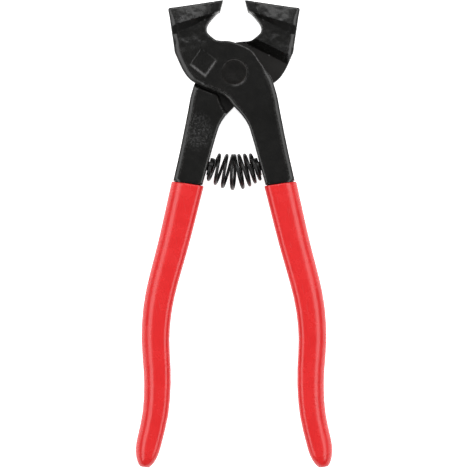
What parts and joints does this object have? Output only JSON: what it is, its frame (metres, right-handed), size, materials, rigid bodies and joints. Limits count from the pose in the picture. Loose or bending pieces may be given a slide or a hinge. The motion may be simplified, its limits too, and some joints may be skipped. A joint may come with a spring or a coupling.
{
  "type": "lever nippers",
  "caption": "Two-lever hand nippers for nibbling glass and tile, with carbide biting edges, a return spring and dipped grips.",
  "frame": {"origin": "on the pivot axis, in the plane of the rivet's lower end face", "axes": "+Y from the pivot to the jaw tips, +X towards the upper lever's handle, +Z along the pivot axis out of the side that shows the upper lever"},
  "size_m": [0.0846, 0.2007, 0.017],
  "materials": {
    "black_paint": "semi-gloss black paint over a forged surface",
    "carbide": "ground carbide, painted over with the jaw",
    "rivet_paint": "semi-gloss black paint on a turned rivet",
    "spring_steel": "oil-blackened spring wire",
    "red_coating": "glossy dipped vinyl"
  },
  "bodies": {
    "lower_half": {"lower_lever": "black_paint", "lower_carbide_edge": "carbide", "lower_spring_peg": "spring_steel", "lower_grip": "red_coating", "pivot_rivet": "rivet_paint", "return_spring": "spring_steel"},
    "upper_half": {"upper_lever": "black_paint", "upper_carbide_edge": "carbide", "upper_spring_peg": "spring_steel", "upper_grip": "red_coating"}
  },
  "joints": [
    {"name": "pivot", "type": "hinge", "parent": "lower_half", "child": "upper_half", "pos_m": [0, 0, 0.0065], "axis": [0, 0, -1], "range_deg": [0, 16.8], "stiffness_Nm_per_rad": 1.5, "deforming": ["return_spring"]}
  ]
}
